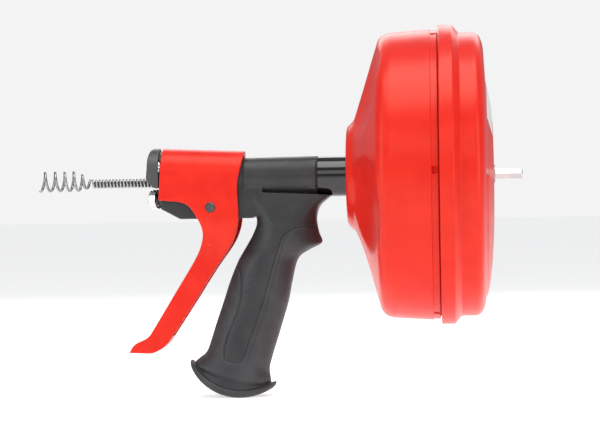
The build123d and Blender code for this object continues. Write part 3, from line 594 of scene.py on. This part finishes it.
def distance_to(path, x, z):
    """Side-view distance from each point to a path."""
    nearest = np.full(x.shape, 1e6)
    for (ax, az), (bx, bz) in zip(path, path[1:]):
        length = (bx - ax) ** 2 + (bz - az) ** 2
        share = np.clip(((x - ax) * (bx - ax) + (z - az) * (bz - az)) / length, 0, 1)
        nearest = np.minimum(nearest, np.hypot(x - ax - share * (bx - ax), z - az - share * (bz - az)))
    return nearest


def inside(outline, x, z):
    """Whether side-view points lie within a closed outline."""
    found = np.zeros(x.shape, bool)
    for (ax, az), (bx, bz) in zip(outline, np.roll(outline, -1, axis=0)):
        crosses = (az > z) != (bz > z)
        with np.errstate(divide="ignore", invalid="ignore"):
            found ^= crosses & (x < (bx - ax) * (z - az) / (bz - az) + ax)
    return found


skin_line = eased([(-108.0, -33.0), (-120.0, -32.4), (-129.0, -33.6), (-137.0, -38.6), (-141.3, -49.9),
                   (-145.0, -62.0), (-152.3, -85.8), (-160.6, -108.0), (-163.6, -116.0), (-166.6, -119.4),
                   (-174.0, -119.2), (-177.0, -115.0), (-175.4, -105.0), (-171.0, -94.0), (-167.0, -83.6),
                   (-165.0, -71.2), (-167.0, -60.0), (-171.5, -52.0)], 6)
skin_outline = np.vstack([skin_line, [(-215, -30), (-215, 60), (-90, 60), (-90, -33)]])
skin_inner = eased([(-130.6, -36.4), (-134.8, -39.6), (-138.8, -50.6), (-142.4, -62.7), (-149.6, -86.5),
                    (-157.8, -108.6), (-161.8, -118.6)], 6)
panel_x, panel_z = (-163.0, -115.6), (-7.8, 10.0)
panel_rise = 0.85
ledge_rise, ledge_z = 0.5, -6.0
ledge_x = (-160.0, -121.0)
barrel_skin_r = 14.4
outer_groove, inner_groove, rim_groove = 0.75, 0.45, 0.4
dimple_depth, dimple_r = 0.5, 1.1
dimple_x, dimple_z = -145.8, -42.0


def groove(gap, half_width):
    """A soft-edged groove's depth, from 1 on its line to 0 beside it."""
    return np.exp(-(gap / half_width) ** 2)


def handle_relief(points, normals):
    """How far each handle point is raised: side panels, contour grooves and the line over the rim."""
    x, y, z = points.T
    sideways = step(np.abs(normals[:, 1]) - 0.35, 0.4)
    inner = np.minimum.reduce([x - panel_x[0], panel_x[1] - x, z - panel_z[0], panel_z[1] - z])
    on_barrel = step(barrel_skin_r - np.hypot(y, z), 0.3) * (np.abs(y) > 6)
    rise = panel_rise * step(inner, 0.45) * on_barrel
    ledge = groove(z - ledge_z, 0.5) * step(x - ledge_x[0], 2) * step(ledge_x[1] - x, 2)
    rise += ledge_rise * ledge * on_barrel
    on_grip = sideways * (z < -20)
    rise -= outer_groove * groove(distance_to(skin_line, x, z), 0.6) * on_grip
    rise -= inner_groove * groove(distance_to(skin_inner, x, z), 0.5) * on_grip
    rise -= dimple_depth * step(dimple_r - np.hypot(x - dimple_x, z - dimple_z), 0.6) * sideways
    rim_line = [sole(share, rim_height + 1.1) for share in np.linspace(-1.05, 1.05, 25)]
    rise -= rim_groove * groove(distance_to(rim_line, x, z), 0.5)
    return rise


def vertex_data(obj):
    """A mesh's vertices in millimetres and its vertex normals."""
    count = len(obj.data.vertices)
    points, normals = np.zeros(count * 3), np.zeros(count * 3)
    obj.data.vertices.foreach_get("co", points)
    obj.data.vertices.foreach_get("normal", normals)
    return points.reshape(-1, 3) / MM, normals.reshape(-1, 3)


def chosen_faces(name, obj, chosen):
    """A new object from some of an object's faces."""
    work = bmesh.new()
    work.from_mesh(obj.data)
    work.faces.ensure_lookup_table()
    dropped = [work.faces[index] for index in np.flatnonzero(~chosen)]
    bmesh.ops.delete(work, geom=dropped, context="FACES")
    mesh = bpy.data.meshes.new(name)
    work.to_mesh(mesh)
    work.free()
    piece = bpy.data.objects.new(name, mesh)
    scene.collection.objects.link(piece)
    return piece


stock = [carved(solid, handle_cutters) for solid in handle_solids]
handle = melted(joined("handle_skin", stock), voxel=0.36, passes=8)
points, normals = vertex_data(handle)
points += normals * handle_relief(points, normals)[:, None]
handle.data.vertices.foreach_set("co", (points * MM).ravel())
handle.data.update()

middles = np.zeros(len(handle.data.polygons) * 3)
handle.data.polygons.foreach_get("center", middles)
middles = middles.reshape(-1, 3) / MM
rubber = ~inside(skin_outline, middles[:, 0], middles[:, 2]) & (middles[:, 2] < -30.0)
finished(chosen_faces("handle_shells", handle, ~rubber), grip_plastic, "handle", "handle_black",
         "handle_left_shell", "handle_right_shell", sharp=60)
finished(chosen_faces("grip_skin", handle, rubber), grip_rubber, "handle", "overmould_rubber",
         "grip_overmould", sharp=60)
bpy.data.objects.remove(handle)


# ---------------------------------------------------------------- lever and roller carrier
def softened_node(name, node, material, body, slot, voxel, passes):
    """A CAD moulding with its edges rounded as they come out of a mould."""
    obj = bpy.data.objects.new(name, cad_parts[node].data.copy())
    scene.collection.objects.link(obj)
    return finished(melted(obj, voxel, passes), material, body, slot, node, sharp=60)


softened_node("lever", "feed_lever", lever_red, "trigger", "lever_red", voxel=0.4, passes=8)
softened_node("nose_carrier", "roller_carrier", carrier_grey, "trigger", "carrier_grey", voxel=0.35, passes=5)

# ---------------------------------------------------------------- wound cable
cable_low, cable_high = (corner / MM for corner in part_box("feed_cable"))
cable_r = (cable_high.z - cable_low.z) / 2
cable_z = (cable_high.z + cable_low.z) / 2
wire_r = 0.72
wire_pitch = 2.25
core_r = 1.6


def wound_cable():
    """The spring-wound cable, open between its turns."""
    turns = (cable_high.x - cable_low.x - 2 * wire_r) / wire_pitch
    angle = np.linspace(0, 2 * np.pi * turns, int(turns * 24 / FINE))
    radius = cable_r - wire_r
    path = np.stack([
        cable_low.x + wire_r + wire_pitch * angle / (2 * np.pi),
        -radius * np.sin(angle), cable_z + radius * np.cos(angle),
    ], axis=1)
    return tube(path, wire_r, 12)


wound = new_mesh("cable_wire", *wound_cable())
finished(wound, cable_steel, "cable", "cable_steel", "feed_cable", sharp=60)
# A dark rod inside the coil stands in for the shade in its hollow: painted shade.
core_ends = (cable_low.x + 1, 0, cable_z), (cable_high.x - 1, 0, cable_z)
core = new_mesh("cable_shade_core", *rod(*core_ends, core_r, 24))
finished(core, core_painted_shade, "cable", "cable_steel")

# ---------------------------------------------------------------- CAD nodes that stay
kept_nodes = (
    (tube_black, ["guide_tube"]),
    (bronze, ["nose_bushing", "drum_bushing"]),
    (nylon, ["thrust_washer"]),
    (label_grey, ["rear_label"]),
    (shank_steel, ["drive_shank"]),
    (pin_steel, ["lower_axle", "upper_axles", "pivot_pin"]),
    (spring_steel, ["pin_clip", "return_spring"]),
    (cable_steel, ["cable_coil", "cable_loop", "bulb_auger"]),
    (bearing_steel, ["lower_roller", "lower_inner_race", "lower_balls", "upper_left_roller",
                     "upper_right_roller", "upper_inner_races", "upper_balls"]),
    (zinc_steel, ["retaining_ring", "handle_screws", "drive_plate", "drive_screws", "cable_anchor",
                  "anchor_screw", "carrier_screw"]),
)
for material, nodes in kept_nodes:
    for node in nodes:
        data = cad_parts[node].data
        data.materials.clear()
        data.materials.append(material)


# ---------------------------------------------------------------- floor, light and camera
floor_drop = 0.3
floor_edge = 30000.0
floor_squares = 24
floor_glow = 0.60
sky_glow = 0.30
sky_seen = 0.90


def pale_floor():
    """A wide pale floor just under the object."""
    floor_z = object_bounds()[0].z / MM - floor_drop
    row_length = floor_squares + 1
    ticks = np.linspace(-floor_edge, floor_edge, row_length)
    points = [(x, y, floor_z) for y in ticks for x in ticks]
    faces = [
        (start, start + 1, start + row_length + 1, start + row_length)
        for row in range(floor_squares) for start in range(row * row_length, row * row_length + floor_squares)
    ]
    obj = new_mesh("pale_floor", points, faces)
    glow = floor_paper.node_tree.nodes["Principled BSDF"]
    glow.inputs["Emission Color"].default_value = (1, 1, 1, 1)
    glow.inputs["Emission Strength"].default_value = floor_glow
    obj.data.materials.append(floor_paper)
    obj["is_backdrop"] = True


def softbox(name, place, target, width, height, power):
    """A rectangular soft light aimed at a point."""
    light = bpy.data.lights.new(name, "AREA")
    light.shape = "RECTANGLE"
    light.size = width
    light.size_y = height
    light.energy = power
    obj = bpy.data.objects.new(name, light)
    obj.location = place
    obj.rotation_mode = "QUATERNION"
    obj.rotation_quaternion = (Vector(target) - Vector(place)).to_track_quat("-Z", "Y")
    scene.collection.objects.link(obj)


pale_floor()
middle = (start_box[0] + start_box[1]) / 2
softbox("top_light", (middle.x + 0.1, -0.25, 0.95), middle, 1.1, 0.7, 9)
softbox("left_light", (middle.x - 0.95, -0.75, 0.35), middle, 0.5, 1.1, 4.2)
softbox("right_light", (middle.x + 0.95, -0.8, 0.25), middle, 0.35, 1.1, 4.6)
softbox("front_light", (middle.x + 0.05, -1.7, 0.75), middle, 1.3, 0.6, 3.6)
softbox("back_light", (middle.x, 1.3, 0.8), middle, 1.4, 0.6, 7)



def studio_sky():
    """A soft even light all round, seen by the camera as a pale background."""
    world = bpy.data.worlds.new("studio")
    scene.world = world
    world.use_nodes = True
    nodes, links = world.node_tree.nodes, world.node_tree.links
    lighting = nodes["Background"]
    lighting.inputs["Color"].default_value = (0.95, 0.97, 1.0, 1)
    lighting.inputs["Strength"].default_value = sky_glow
    background = nodes.new("ShaderNodeBackground")
    background.inputs["Color"].default_value = (sky_seen, sky_seen, sky_seen, 1)
    ray = nodes.new("ShaderNodeLightPath")
    chooser = nodes.new("ShaderNodeMixShader")
    links.new(ray.outputs["Is Camera Ray"], chooser.inputs["Fac"])
    links.new(lighting.outputs["Background"], chooser.inputs[1])
    links.new(background.outputs["Background"], chooser.inputs[2])
    links.new(chooser.outputs["Shader"], nodes["World Output"].inputs["Surface"])


studio_sky()
scene.view_settings.view_transform = "Standard"

camera_place = Vector((-0.032, -1.437, -0.023))
camera_target = Vector((-0.127, 0.0, -0.023))
camera_roll = math.radians(0.85)
camera_data = bpy.data.cameras.new("camera")
camera_data.lens = 132
camera_data.sensor_width = 36
camera = bpy.data.objects.new("camera", camera_data)
camera.location = camera_place
camera.rotation_mode = "QUATERNION"
aim = (camera_target - camera_place).to_track_quat("-Z", "Y")
camera.rotation_quaternion = aim @ Quaternion((0, 0, 1), -camera_roll)
scene.collection.objects.link(camera)
scene.camera = camera
